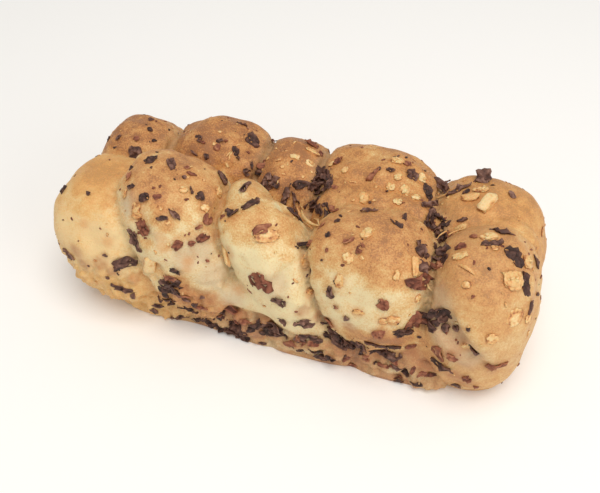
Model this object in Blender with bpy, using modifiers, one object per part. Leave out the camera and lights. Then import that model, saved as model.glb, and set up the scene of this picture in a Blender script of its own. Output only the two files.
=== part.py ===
"""A cheese and onion tear-and-share loaf: two rows of dough balls proved and baked into one.

The loaf lies along X and stands on Z = 0, with its front row of balls at -Y. Lengths in the
tables are millimetres, and the model is in metres.
"""

import math
import random

import bmesh
import bpy
from mathutils import Matrix, Vector, noise

MM = 0.001

# Driving sizes of the whole loaf, without its toppings.
LOAF_LENGTH = 243
LOAF_WIDTH = 112.5
LOAF_HEIGHT = 85

# The dough balls: middle along, across and up, then half length, half depth and half height,
# the turn about the upright in degrees, and how far the top leans along the loaf. The first
# ball of each row is at the -X end.
FRONT_ROW = (
    (-85, -26, 40, 31, 32, 36, -1, -4),
    (-48, -25, 44, 31, 29.5, 42, -4, -12),
    (4, -30, 42, 24, 21.5, 37, -14, -19),
    (46, -22, 44, 34, 29, 35, -2, -4),
    (94.5, -19.5, 37, 27, 31, 42.5, -6, 0),
)
BACK_ROW = (
    (-94.5, 18, 36.5, 25, 29.5, 33, -4, 0),
    (-51, 24.5, 37, 32, 29, 38, 1, 0),
    (-9, 22, 36, 24.5, 30, 37, 2, 0),
    (32.5, 24.5, 39.5, 38, 29, 38, -6, 0),
    (88, 22, 35, 32, 31, 37, -2, 0),
)
# The lower edge of the dough, which spread over the tray under the balls.
FRONT_FOOT = (
    (-86, -17, 12, 27, 26, 17, 0, 0),
    (-62, -23, 14, 25, 25, 20, -2, 0),
    (-37, -25, 9, 26, 20.5, 18, 2, 0),
    (-8, -26, 9, 28, 20.5, 18, 0, 0),
    (23, -26, 9, 29, 21.5, 18, 1, 0),
    (62, -26, 9, 31, 21, 18, 0, 0),
    (89, -18, 12, 27, 23.5, 18, 0, 0),
)
BACK_FOOT = (
    (-88, 18, 10, 26, 26, 17, 0, 0),
    (-48, 24, 10, 29, 26, 17, 4, 0),
    (-5, 23, 10, 30, 26, 17, 0, 0),
    (38, 25, 10, 31, 26, 17, -3, 0),
    (82, 20, 10, 32, 27, 17, 0, 0),
)
CORE = (0, 0, 28, 96, 28, 27, 0, 0)
# Dough that rose in the saddles behind the fourth and fifth front balls, the low fold between the
# second and the third, and the third one's narrow peak.
FOLDS = (
    (40, 2, 50, 33, 23, 25, -3, 0),
    (98, 6, 43, 22, 16, 27.5, -4, 0),
    (-9, -33, 32.5, 25, 17.5, 11.5, -2, 3),
    (-18, -19, 58, 13, 14, 22, 20, -3),
)

# How square the balls are where they press on each other, and the foot: 2 is an ellipsoid.
PILLOW = 2.4
FOOT_PILLOW = 3.6
BALL_STEPS = 5
LUMP_SPAN = 21
LUMP_DEPTH = 1.6
LUMP_CHANGE = 7.3
VOXEL = 1.6
SMOOTH_PASSES = 2
DOUGH_TRIANGLES = 4700

# The photograph's eye point and what it looks at, and the picture's size and focal length in
# pixels, for placing a topping where the picture shows it.
EYE_AZIMUTH = 19
EYE_ELEVATION = 45.2
EYE_DISTANCE = 404.6
LOOKED_AT = (0.2, -0.9, 32.1)
PICTURE = (600, 493)
FOCAL = 781.5

# Kibbled onion that the picture shows on the back row, the front row and the foot: pixels
# across and down, length, width, and turn in the picture in degrees.
ONION_ON_BACK_ROW = (
    (136, 154, 9.5, 7, -62), (150, 161, 7.5, 4.5, 40), (172, 166, 6.5, 4, -80),
    (236, 153, 8, 3.5, -85), (252, 140, 8, 5, -50), (243, 125, 5.5, 4, -35),
    (223, 178, 7, 5.5, -65), (247, 171, 5.5, 4, -65), (270, 182, 9.5, 7.5, 15),
    (298, 185, 9, 4, 5), (285, 197, 9, 3, 75), (317, 181, 12, 5.5, 80),
    (328, 183, 8, 5, 60), (260, 164, 6, 3, 50), (312, 145, 7, 4, 0),
    (338, 161, 6.5, 3.5, 75), (372, 175, 6.5, 3.3, 45), (391, 170, 4.5, 3.5, -20),
    (313, 203, 6.5, 5, 0), (328, 211, 7, 3.5, 90), (427, 190, 5.5, 4.5, 70),
    (411, 176, 6.5, 5, 20), (446, 187, 8, 3.5, -75), (457, 190, 14, 3, 15),
    (484, 179, 8.5, 5, 0), (512, 195, 4, 3.5, 0), (199, 139, 5, 3.3, -30),
)
ONION_ON_FRONT_ROW = (
    (132, 187, 4, 3.5, 0), (145, 196, 6.5, 5, 70), (174, 214, 6.5, 2.6, -50),
    (207, 219, 6.5, 4, 70), (200, 225, 5, 3.5, 20), (144, 228, 9, 6.5, -60),
    (134, 240, 10, 4.5, -70), (128, 263, 11, 6, 10), (69, 255, 7, 4, -38),
    (124, 290, 8, 2.8, -20), (177, 245, 5, 4, 30), (203, 238, 7, 3.5, 15),
    (177, 271, 6.5, 4, 0), (165, 284, 5, 5, 0), (176, 292, 9, 2.5, -58),
    (190, 309, 8.5, 2.5, -12), (181, 315, 5.5, 3, 0), (200, 319, 8, 4.5, 10),
    (232, 212, 7.5, 5.5, 60), (250, 204, 9.5, 2.5, 50), (245, 187, 7, 2.5, 60),
    (294, 213, 10.5, 5, -62), (300, 246, 5.5, 3.2, 0), (261, 282, 12, 7.5, -20),
    (279, 301, 9.5, 5, -38), (330, 292, 6.3, 4, 80), (348, 241, 5.2, 2.5, 10),
    (359, 250, 6.3, 3.2, 85), (370, 211, 7.5, 3, 10), (404, 217, 5.2, 2.6, 80),
    (396, 224, 7.5, 3.5, -50), (383, 304, 5.2, 4.5, -40), (434, 213, 9.5, 8, 30),
    (440, 231, 8.5, 7, 40), (504, 233, 10, 6, -20), (491, 244, 9.5, 2.8, 10),
    (461, 247, 6.3, 5.2, 0), (515, 257, 9, 8.5, 0), (524, 282, 11, 5.5, -65),
    (421, 250, 10.5, 5, -75), (426, 268, 10, 6, -70), (440, 252, 7.3, 6.3, 0),
    (440, 266, 6.3, 5.2, 0), (420, 281, 11.5, 6.5, 0), (378, 334, 5.2, 5, 0),
    (402, 333, 10, 4.2, -5), (429, 320, 10.5, 7, 80), (415, 321, 10, 9, 60),
    (441, 314, 7.3, 6.5, 0), (466, 378, 7.3, 5.2, 10), (495, 367, 8.5, 3.2, 10),
)
ONION_ON_FOOT = (
    (220, 328, 9.5, 5.5, -15), (238, 333, 10.5, 7, -10), (271, 327, 13, 6.5, -10),
    (283, 321, 4.5, 4, 0), (305, 323, 9, 4.2, -18), (309, 336, 10.5, 5.2, -15),
    (335, 338, 15, 6, -32), (330, 323, 5.2, 4.2, 0), (361, 344, 9, 4.2, -15),
    (372, 343, 7.3, 2.5, 0), (393, 346, 6.5, 4.2, 0), (394, 356, 8, 5.2, 0),
    (397, 367, 6.5, 3.2, 90), (323, 358, 9, 4.2, 0), (438, 353, 8.5, 7, 60),
    (452, 356, 5.2, 4.2, 0), (442, 367, 10.5, 3.2, 0), (417, 385, 5.2, 2.5, 0),
    (474, 349, 6.3, 2.6, -32),
)
# Cheese baked onto the crust in crumbs and sticks, read in the same way.
CHEESE = (
    (218, 192, 6, 5.5, 0), (227, 254, 11, 5, 75), (267, 236, 10, 5.5, 10),
    (136, 209, 7, 4.5, 60), (150, 262, 9, 5, 80), (295, 157, 5, 3.5, -20),
    (310, 164, 5.2, 3.5, -30), (313, 152, 8.5, 3.2, -40), (332, 164, 4.2, 3.3, 80),
    (345, 170, 4, 3.5, 45), (364, 198, 6, 5.5, 60), (367, 233, 7.5, 5, 60),
    (397, 161, 7.5, 4.5, 0), (398, 177, 4.2, 4, 0), (390, 187, 4.7, 4.5, 0),
    (404, 190, 5.2, 5, 0), (416, 198, 4.7, 4.2, 0), (397, 202, 4.2, 4, 0),
    (422, 178, 5.7, 4.2, 80), (470, 198, 8.5, 4.2, -8), (481, 190, 7.8, 4.2, -5),
    (487, 203, 11, 5.5, 56), (461, 229, 7.3, 4.2, 20), (489, 237, 7.8, 4.2, 0),
    (460, 256, 7.3, 3.6, 0), (527, 262, 7.3, 6.3, 0), (513, 280, 10.4, 8.8, 0),
    (415, 266, 8.3, 3.2, 85), (304, 262, 9.4, 4.5, 70), (309, 293, 5.2, 4.2, 0),
    (348, 258, 5.2, 5.2, 0), (339, 281, 6.3, 4.2, 70), (515, 317, 9.4, 8.3, 0),
    (528, 319, 4.2, 4.2, 0), (492, 339, 5.2, 5.2, 0),
)

# Toppings on the far side and the ends, strewn in the sizes and at the spacing seen in front.
STREWN = 64
STREWN_GAP = 13
STREWN_LONG = (5, 10)
STREWN_NARROW = (0.4, 0.8)
STREWN_SPAN = 0.45
STREWN_HEIGHTS = (4, 50)
STREWN_TURNED_AWAY = 0.25
STREWN_LOWEST = 4
STREWN_LOWEST_SLOPE = -0.2
STREWN_TRIES = 4000
STREWN_SEED = 12
SEED = 11

CHIP_SIDES = 6
CHIP_THICKNESS = 2.6
CHIP_STANDS_PROUD = 0.62
CHIP_TOP = 0.72
CHIP_RAGGED = 0.2
# No chip reaches lower than this, so that the loaf rests on its own flat and not on a topping.
CHIP_ABOVE_TRAY = 0.6

CRUST_COLOUR = (0.55, 0.33, 0.14)
CRUST_ROUGHNESS = 0.6


def clear_scene():
    for obj in list(bpy.data.objects):
        bpy.data.objects.remove(obj)


def add_collection(name):
    collection = bpy.data.collections.new(name)
    bpy.context.scene.collection.children.link(collection)
    return collection


def pillow(direction, power):
    """A unit sphere's point, pushed out towards the corners of its box."""
    total = sum(abs(part) ** power for part in direction)
    return direction * total ** (-1 / power)


def add_ball(bm, ball, number, power):
    """One dough ball, lumpy from shaping, added to bm in millimetres."""
    x, y, z, half_x, half_y, half_z, turn, lean = ball
    made = bmesh.ops.create_icosphere(bm, subdivisions=BALL_STEPS, radius=1)["verts"]
    spin = Matrix.Rotation(math.radians(turn), 3, "Z")
    for vert in made:
        point = pillow(vert.co.normalized(), power)
        sized = spin @ Vector((point.x * half_x, point.y * half_y, point.z * half_z))
        lump = noise.noise(sized / LUMP_SPAN + Vector((LUMP_CHANGE * number, 0.5, 0)))
        swell = 1 + LUMP_DEPTH * lump / min(half_x, half_y, half_z)
        vert.co = sized * swell + Vector((x + lean * point.z, y, z))


def apply_modifiers(obj):
    graph = bpy.context.evaluated_depsgraph_get()
    mesh = bpy.data.meshes.new_from_object(obj.evaluated_get(graph))
    obj.modifiers.clear()
    obj.data = mesh


def make_dough(collection):
    """The balls and their foot, fused into one body and thinned to a workable number of faces."""
    bm = bmesh.new()
    low = FRONT_FOOT + BACK_FOOT + (CORE,)
    for number, ball in enumerate(FRONT_ROW + BACK_ROW + low + FOLDS):
        add_ball(bm, ball, number, FOOT_PILLOW if ball in low else PILLOW)
    mesh = bpy.data.meshes.new("loaf")
    bmesh.ops.scale(bm, vec=(MM, MM, MM), verts=bm.verts)
    bm.to_mesh(mesh)
    bm.free()
    loaf = bpy.data.objects.new("loaf", mesh)
    collection.objects.link(loaf)
    fuse = loaf.modifiers.new("fuse", "REMESH")
    fuse.mode = "VOXEL"
    fuse.voxel_size = VOXEL * MM
    relax = loaf.modifiers.new("relax", "SMOOTH")
    relax.iterations = SMOOTH_PASSES
    apply_modifiers(loaf)
    thin = loaf.modifiers.new("thin", "DECIMATE")
    thin.ratio = DOUGH_TRIANGLES / (2 * len(loaf.data.polygons))
    apply_modifiers(loaf)
    return loaf


def stand_flat(loaf):
    """Cuts the loaf level where it stood on the tray, and brings it to its driving sizes."""
    bm = bmesh.new()
    bm.from_mesh(loaf.data)
    everything = bm.verts[:] + bm.edges[:] + bm.faces[:]
    cut = bmesh.ops.bisect_plane(
        bm, geom=everything, plane_co=(0, 0, 0), plane_no=(0, 0, 1), clear_inner=True
    )
    rim = [edge for edge in cut["geom_cut"] if isinstance(edge, bmesh.types.BMEdge)]
    bmesh.ops.contextual_create(bm, geom=rim)
    bmesh.ops.recalc_face_normals(bm, faces=bm.faces)
    low = Vector(min(vert.co[axis] for vert in bm.verts) for axis in range(3))
    high = Vector(max(vert.co[axis] for vert in bm.verts) for axis in range(3))
    wanted = Vector((LOAF_LENGTH, LOAF_WIDTH, LOAF_HEIGHT)) * MM
    middle = Vector(((low.x + high.x) / 2, (low.y + high.y) / 2, 0))
    stretch = Vector(wanted[axis] / (high[axis] - low[axis]) for axis in range(3))
    bmesh.ops.translate(bm, vec=-middle, verts=bm.verts)
    bmesh.ops.scale(bm, vec=stretch, verts=bm.verts)
    bm.to_mesh(loaf.data)
    bm.free()


def picture_axes():
    """The picture's right, up and towards-the-eye directions."""
    azimuth, elevation = math.radians(EYE_AZIMUTH), math.radians(EYE_ELEVATION)
    right = Vector((math.cos(azimuth), math.sin(azimuth), 0))
    back = Vector((math.sin(azimuth), -math.cos(azimuth), 0)) * math.cos(elevation)
    back.z = math.sin(elevation)
    return right, back.cross(right), back


def seen_spot(loaf, across, down):
    """Where the sight line through a picture point meets the loaf: the place and its normal."""
    right, up, back = picture_axes()
    eye = (Vector(LOOKED_AT) + back * EYE_DISTANCE) * MM
    sight = right * (across - PICTURE[0] / 2) - up * (down - PICTURE[1] / 2) - back * FOCAL
    hit, place, normal, _ = loaf.ray_cast(eye, sight.normalized())
    return (place, normal) if hit else None


def add_chip(collection, place, normal, along, long, wide, draw):
    """One flat chip with uneven corners and sloping sides, part of it sunk in the crust."""
    bm = bmesh.new()
    bmesh.ops.create_cone(
        bm, cap_ends=True, segments=CHIP_SIDES, radius1=1, radius2=CHIP_TOP, depth=2
    )
    ragged = [1 + draw.uniform(-CHIP_RAGGED, CHIP_RAGGED) for _ in range(CHIP_SIDES)]
    side = normal.cross(along).normalized()
    along = side.cross(normal)
    for vert in bm.verts:
        corner = round(math.atan2(vert.co.y, vert.co.x) / math.tau * CHIP_SIDES) % CHIP_SIDES
        reach = ragged[corner] / 2
        lift = (CHIP_STANDS_PROUD if vert.co.z > 0 else CHIP_STANDS_PROUD - 1) * CHIP_THICKNESS
        flat = along * vert.co.x * long * reach + side * vert.co.y * wide * reach
        vert.co = place + (flat + normal * lift) * MM
    sunk = CHIP_ABOVE_TRAY * MM - min(vert.co.z for vert in bm.verts)
    bmesh.ops.translate(bm, vec=(0, 0, max(0, sunk)), verts=bm.verts)
    bmesh.ops.recalc_face_normals(bm, faces=bm.faces)
    mesh = bpy.data.meshes.new("topping")
    bm.to_mesh(mesh)
    bm.free()
    collection.objects.link(bpy.data.objects.new("topping", mesh))


def add_seen_toppings(loaf, collection, draw):
    right, up, _ = picture_axes()
    places = []
    for across, down, long, wide, turn in (
        ONION_ON_BACK_ROW + ONION_ON_FRONT_ROW + ONION_ON_FOOT + CHEESE
    ):
        spot = seen_spot(loaf, across, down)
        if spot is None:
            continue
        angle = math.radians(turn)
        along = right * math.cos(angle) + up * math.sin(angle)
        add_chip(collection, *spot, along, long, wide, draw)
        places.append(spot[0])
    return places


def strewn_draws():
    """Where each hidden topping may lie and its size: a line's start and end, then the lengths."""
    draw = random.Random(STREWN_SEED)
    for _ in range(STREWN_TRIES):
        heading = math.radians(draw.uniform(0, 360))
        level = draw.uniform(0, 1)
        along_loaf = draw.uniform(-STREWN_SPAN, STREWN_SPAN) * LOAF_LENGTH
        end = Vector((along_loaf, 0, draw.uniform(*STREWN_HEIGHTS)))
        start = end + Vector((math.cos(heading), math.sin(heading), level)) * LOAF_LENGTH
        long = draw.uniform(*STREWN_LONG)
        wide = long * draw.uniform(*STREWN_NARROW)
        along = Vector([draw.uniform(-1, 1) for _ in range(3)])
        yield start, end, along, long, wide


def add_strewn_toppings(loaf, collection, places, draw):
    """Toppings where the picture doesn't reach: no two nearer than the gap."""
    _, _, back = picture_axes()
    eye = (Vector(LOOKED_AT) + back * EYE_DISTANCE) * MM
    made = 0
    for start, end, along, long, wide in strewn_draws():
        hit, place, normal, _ = loaf.ray_cast(start * MM, (end - start).normalized())
        if not hit or normal.dot((eye - place).normalized()) > -STREWN_TURNED_AWAY:
            continue
        if normal.z < STREWN_LOWEST_SLOPE or place.z < STREWN_LOWEST * MM:
            continue
        if any((place - other).length < STREWN_GAP * MM for other in places):
            continue
        add_chip(collection, place, normal, along, long, wide, draw)
        places.append(place)
        made += 1
        if made == STREWN:
            break


def keep_largest_body(loaf):
    """Drops loose scraps and fills hollows that fusing the toppings sealed."""
    bm = bmesh.new()
    bm.from_mesh(loaf.data)
    bodies, left = [], set(bm.verts)
    while left:
        body, front = set(), [left.pop()]
        while front:
            vert = front.pop()
            body.add(vert)
            for edge in vert.link_edges:
                other = edge.other_vert(vert)
                if other in left:
                    left.remove(other)
                    front.append(other)
        bodies.append(body)
    largest = max(bodies, key=len)
    bmesh.ops.delete(bm, geom=[vert for vert in bm.verts if vert not in largest])
    bm.to_mesh(loaf.data)
    bm.free()


def fuse_toppings(loaf, toppings):
    join = loaf.modifiers.new("toppings", "BOOLEAN")
    join.operation = "UNION"
    join.operand_type = "COLLECTION"
    join.collection = toppings
    join.solver = "EXACT"
    apply_modifiers(loaf)
    for topping in list(toppings.objects):
        bpy.data.objects.remove(topping)
    bpy.data.collections.remove(toppings)
    keep_largest_body(loaf)


def add_material(obj, name, colour, roughness):
    material = bpy.data.materials.new(name)
    material.use_nodes = True
    shader = material.node_tree.nodes["Principled BSDF"]
    shader.inputs["Base Color"].default_value = (*colour, 1)
    shader.inputs["Roughness"].default_value = roughness
    shader.inputs["Metallic"].default_value = 0
    obj.data.materials.append(material)


def main():
    clear_scene()
    draw = random.Random(SEED)
    loaf = make_dough(add_collection("cheese_and_onion_bread"))
    stand_flat(loaf)
    toppings = add_collection("toppings")
    places = add_seen_toppings(loaf, toppings, draw)
    add_strewn_toppings(loaf, toppings, places, draw)
    fuse_toppings(loaf, toppings)
    loaf.data.materials.clear()
    add_material(loaf, "baked crust", CRUST_COLOUR, CRUST_ROUGHNESS)
    loaf.data.shade_smooth()


main()
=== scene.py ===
# The looks of a cheese and onion tear-and-share loaf: crust, kibbled onion, baked cheese and specks.
import math
import random

import bmesh
import bpy
import numpy as np
from mathutils import Matrix, Vector, noise
from mathutils.bvhtree import BVHTree


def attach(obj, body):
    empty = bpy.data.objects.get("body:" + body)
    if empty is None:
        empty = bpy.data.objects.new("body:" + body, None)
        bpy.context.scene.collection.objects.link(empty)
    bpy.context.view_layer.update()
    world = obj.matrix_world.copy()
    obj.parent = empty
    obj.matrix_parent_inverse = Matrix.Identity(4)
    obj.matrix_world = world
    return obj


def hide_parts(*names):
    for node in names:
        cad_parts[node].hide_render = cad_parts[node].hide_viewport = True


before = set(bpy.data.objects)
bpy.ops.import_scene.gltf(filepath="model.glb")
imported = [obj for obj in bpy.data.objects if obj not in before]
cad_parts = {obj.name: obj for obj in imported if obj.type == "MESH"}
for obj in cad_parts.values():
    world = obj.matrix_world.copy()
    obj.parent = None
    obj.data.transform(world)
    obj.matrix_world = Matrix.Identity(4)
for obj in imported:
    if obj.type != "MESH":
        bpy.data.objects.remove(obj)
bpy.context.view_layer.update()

MM = 0.001

# The dough, as in the source of the solid, in millimetres and degrees: the loaf's size, then each
# ball's middle, half sizes, turn, and how far its top leans along the loaf.
LOAF_SIZE = (243, 112.5, 85)
FRONT_ROW = (
    (-85, -26, 40, 31, 32, 36, -1, -4),
    (-48, -25, 44, 31, 29.5, 42, -4, -12),
    (4, -30, 42, 24, 21.5, 37, -14, -19),
    (46, -22, 44, 34, 29, 35, -2, -4),
    (94.5, -19.5, 37, 27, 31, 42.5, -6, 0),
)
BACK_ROW = (
    (-94.5, 18, 36.5, 25, 29.5, 33, -4, 0),
    (-51, 24.5, 37, 32, 29, 38, 1, 0),
    (-9, 22, 36, 24.5, 30, 37, 2, 0),
    (32.5, 24.5, 39.5, 38, 29, 38, -6, 0),
    (88, 22, 35, 32, 31, 37, -2, 0),
)
FRONT_FOOT = (
    (-86, -17, 12, 27, 26, 17, 0, 0),
    (-62, -23, 14, 25, 25, 20, -2, 0),
    (-37, -25, 9, 26, 20.5, 18, 2, 0),
    (-8, -26, 9, 28, 20.5, 18, 0, 0),
    (23, -26, 9, 29, 21.5, 18, 1, 0),
    (62, -26, 9, 31, 21, 18, 0, 0),
    (89, -18, 12, 27, 23.5, 18, 0, 0),
)
BACK_FOOT = (
    (-88, 18, 10, 26, 26, 17, 0, 0),
    (-48, 24, 10, 29, 26, 17, 4, 0),
    (-5, 23, 10, 30, 26, 17, 0, 0),
    (38, 25, 10, 31, 26, 17, -3, 0),
    (82, 20, 10, 32, 27, 17, 0, 0),
)
CORE = (0, 0, 28, 96, 28, 27, 0, 0)
# Dough that rose in the saddles behind the fourth and fifth front balls, the low fold between the
# second and the third, and the third one's narrow peak.
FOLDS = (
    (40, 2, 50, 33, 23, 25, -3, 0),
    (98, 6, 43, 22, 16, 27.5, -4, 0),
    (-9, -33, 32.5, 25, 17.5, 11.5, -2, 3),
    (-18, -19, 58, 13, 14, 22, 20, -3),
)
# How square the balls are where they press on each other, and the foot: 2 is an ellipsoid.
PILLOW = 2.4
FOOT_PILLOW = 3.6
# Lumps from shaping: how far apart, how high, and how far each ball's differ from the last one's.
LUMP_SPAN = 21
LUMP_DEPTH = 1.6
LUMP_CHANGE = 7.3
BALL_STEPS = 5
# How fine the fused skin is, in millimetres, and how often it is smoothed.
VOXEL = 1.15
SMOOTH_PASSES = 1

# Which balls belong together, by their numbers in front row, back row, front foot, back foot and
# folds: a crease runs only between one group and the next. Five groups make the front row, five
# the back row, and the last two are the lower bands. Creases between rows are shallower.
GROUPS = (
    (0, 10, 11), (1,), (2, 24, 25), (3,), (4, 16), (5, 17), (6,), (7,), (8, 22), (9, 21, 23),
    (12, 13, 14, 15), (18, 19, 20),
)
GROUP_ROWS = (0, 0, 0, 0, 0, 1, 1, 1, 1, 1, 2, 2)
BAND_GROUPS = (10, 11)
CREASE_DEPTH = 2.4
CREASE_WIDTH = 1.5
ROW_CREASE = 0.3
BAND_CREASE = 0.3
# Balls of one row that grew together, with a crease that is shallower: two groups and its share.
GROWN_TOGETHER = ((0, 1, 0.35), (1, 2, 0.6))
# The soft valley on both sides of a crease.
VALLEY_WIDTH = 7
VALLEY_DEPTH = 0.6
# How much nearer to a lower band than to the balls above a place has to be to count as the band,
# from not at all to wholly, in millimetres.
BAND_EDGE = (-1.5, 2.5)
# Between which heights the relief grows from the tray up, and the least height that the skin keeps:
# a share of the height it had, up to a millimetre.
TRAY_FADE = (0.3, 3)
LOWEST_SHARE = 0.3
LOWEST = 1

# How each ball baked, front row, back row, then the two lower bands: how brown its top, side and
# lower part are, from 0, pale dough, to 1, deep brown; how far up it the brown begins; below
# which height the lower part lies; how golden and how rosy it is.
BAKE = (
    (0.66, 0.04, 0.4, 0.5, 46, 0.8, 0), (0.8, 0.12, 0.74, 0.48, 48, 0.1, 0.1),
    (0.66, 0.02, 0.34, 0.54, 26, 0.1, 0), (0.82, 0.1, 0.64, 0.26, 40, 0.1, 0.1),
    (0.8, 0.46, 0.58, 0.2, 34, 0.35, 0.2),
    (0.9, 0.5, 0.6, 0.3, 40, 0, 0), (0.92, 0.8, 0.7, 0.2, 40, 0, 0), (0.94, 0.8, 0.7, 0.2, 40, 0, 0),
    (0.84, 0.74, 0.6, 0.3, 40, 0.15, 0), (0.9, 0.72, 0.5, 0.34, 30, 0.5, 0),
    (0.76, 0.68, 0.64, 0.2, 12, 0, 0.5), (0.76, 0.68, 0.7, 0.2, 12, 0, 0.3),
)
# How softly the lower part begins and how far its edge wavers, in millimetres.
LOW_FADE = 12
LOW_WAVER = 4
# What browns a place is how far it faces up and how high it lies: the share of each, then the
# height at which that begins to count and the span over which it grows.
FACING_SHARE = 0.42
HEIGHT_SHARE = 0.58
BROWNS_FROM = 15
BROWNS_OVER = 65
# Places that baked darker or stayed paler than the rest of their ball: pixels across and down,
# radius in millimetres and how much browner. Those at (380, 160), (525, 230), (532, 252) and
# (522, 300) are made paler as painted light falling from the right.
TONED = (
    (285, 250, 10, 0.14), (250, 262, 8, -0.1), (165, 232, 9, -0.14), (80, 205, 10, -0.16),
    (100, 228, 10, -0.22), (200, 150, 8, 0.16), (150, 135, 8, 0.12), (210, 130, 7, 0.12),
    (380, 160, 10, -0.25), (410, 150, 9, -0.12), (345, 352, 6, 0.2), (410, 372, 7, 0.16),
    (400, 245, 9, 0.1), (525, 230, 8, -0.16), (532, 252, 8, -0.12), (522, 300, 9, -0.14),
    (475, 270, 8, 0.1), (465, 212, 8, 0.12), (510, 210, 8, 0.08), (340, 368, 6, -0.25),
    (190, 300, 8, 0.16), (240, 318, 6, 0.16), (430, 356, 7, 0.25), (406, 346, 6, 0.16),
    (60, 215, 8, -0.1), (404, 338, 7, 0.5), (422, 334, 6, 0.4), (386, 338, 6, 0.4),
    (368, 338, 6, 0.35), (350, 335, 5, 0.3), (102, 172, 11, 0.26), (362, 178, 8, 0.14),
    (490, 218, 7, -0.16), (238, 222, 7, -0.16), (128, 146, 7, 0.1),
    (70, 200, 7, 0.1), (110, 170, 7, 0.12), (230, 135, 7, -0.14), (350, 290, 8, -0.14),
    (188, 225, 6, -0.1), (100, 225, 7, -0.08), (525, 230, 7, -0.12), (350, 270, 8, -0.08),
    (275, 168, 6, -0.12),
)
# How many radii away a toned place has faded out.
TONED_SPREAD = 1.6
# Which parts baked rough and flaky, the front row's first two balls, and below which height, with
# the height over which that fades out.
ROUGH_GROUPS = (0, 1)
ROUGH_BELOW = 50
ROUGH_FADE = 14

# The photograph's eye point and what it looks at, in millimetres and degrees, and the picture's
# size and focal length in pixels.
EYE_AZIMUTH = 19
EYE_ELEVATION = 45.2
EYE_DISTANCE = 404.6
LOOKED_AT = (0.2, -0.9, 32.1)
PICTURE = (600, 493)
FOCAL = 781.5
SENSOR = 36

# Places in the picture where the dough bulges or is dented: pixels across and down, radius in
# millimetres and how far it stands out or in.
PRESSED = (
    (225, 158, 7, 1.6), (251, 166, 8, 1.4), (236, 168, 4, -1.2), (446, 320, 8, -4),
    (450, 334, 9, -5), (459, 346, 8, -4.4), (470, 357, 7, -3.6), (482, 366, 6, -2.6),
    (462, 322, 7, 1.2), (472, 334, 7, 1.4), (484, 346, 7, 1.2),
    (155, 268, 6, -2.8), (278, 284, 6, -2.6), (286, 274, 6, -2), (241, 262, 5, -1),
    (96, 236, 13, -1.8), (84, 250, 9, 1.2), (186, 256, 9, -1.4), (170, 275, 6, 1.2),
    (441, 352, 6, 1.6), (205, 284, 8, 1.2), (416, 346, 7, -2), (414, 358, 7, 1.6),
    (288, 207, 8, -3), (298, 216, 6, -1.4),
    (446, 366, 6, 1), (268, 258, 9, 0.9), (296, 300, 8, 1.4),
    (330, 240, 9, 0.8), (150, 240, 5, -1), (395, 300, 10, 0.8), (236, 306, 7, 0.8),
)
# Places where neighbouring dough ran together, so that no crevice shows: pixels and a radius.
RUN_TOGETHER = (
    (412, 344, 12), (426, 348, 11), (396, 348, 8), (240, 306, 9), (226, 300, 8), (150, 282, 8),
    (262, 314, 7),
)
# How often the skin is evened out there, and how far each time.
RUN_TOGETHER_PASSES = 90
RUN_TOGETHER_STEP = 0.6
# Reddish stains where onion and fat browned the dough: pixels across and down, radius.
STAINS = (
    (462, 380, 5.5), (452, 374, 4), (496, 367, 4), (452, 356, 3.5), (76, 252, 3), (84, 264, 3),
    (101, 264, 3), (112, 272, 2.6), (134, 280, 2.4), (330, 322, 3.5), (318, 316, 2.5),
    (350, 327, 3), (380, 335, 3.5),
    (303, 311, 3), (206, 300, 6), (224, 306, 5), (186, 293, 5), (240, 318, 4), (262, 320, 5),
    (412, 352, 4), (426, 366, 5), (372, 356, 4), (344, 352, 3), (398, 340, 3),
)
# How softly stains fade out, in millimetres, and those that onion and cheese left round them.
STAIN_EDGE = 2.2
ONION_STAIN_EDGE = 1.3
CHEESE_STAIN_EDGE = 1.8
# Hollows painted greyer and darker, as painted shade, read in the same way.
HOLLOW_SHADE_SPOTS = (
    (448, 334, 6), (460, 346, 5), (472, 352, 4), (440, 318, 4), (276, 284, 3), (200, 250, 5),
    (214, 276, 6), (232, 296, 4), (128, 205, 3), (186, 258, 4), (440, 300, 4), (454, 326, 6),
    (468, 356, 5),
)
HOLLOW_SHADE_EDGE = 5

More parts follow.
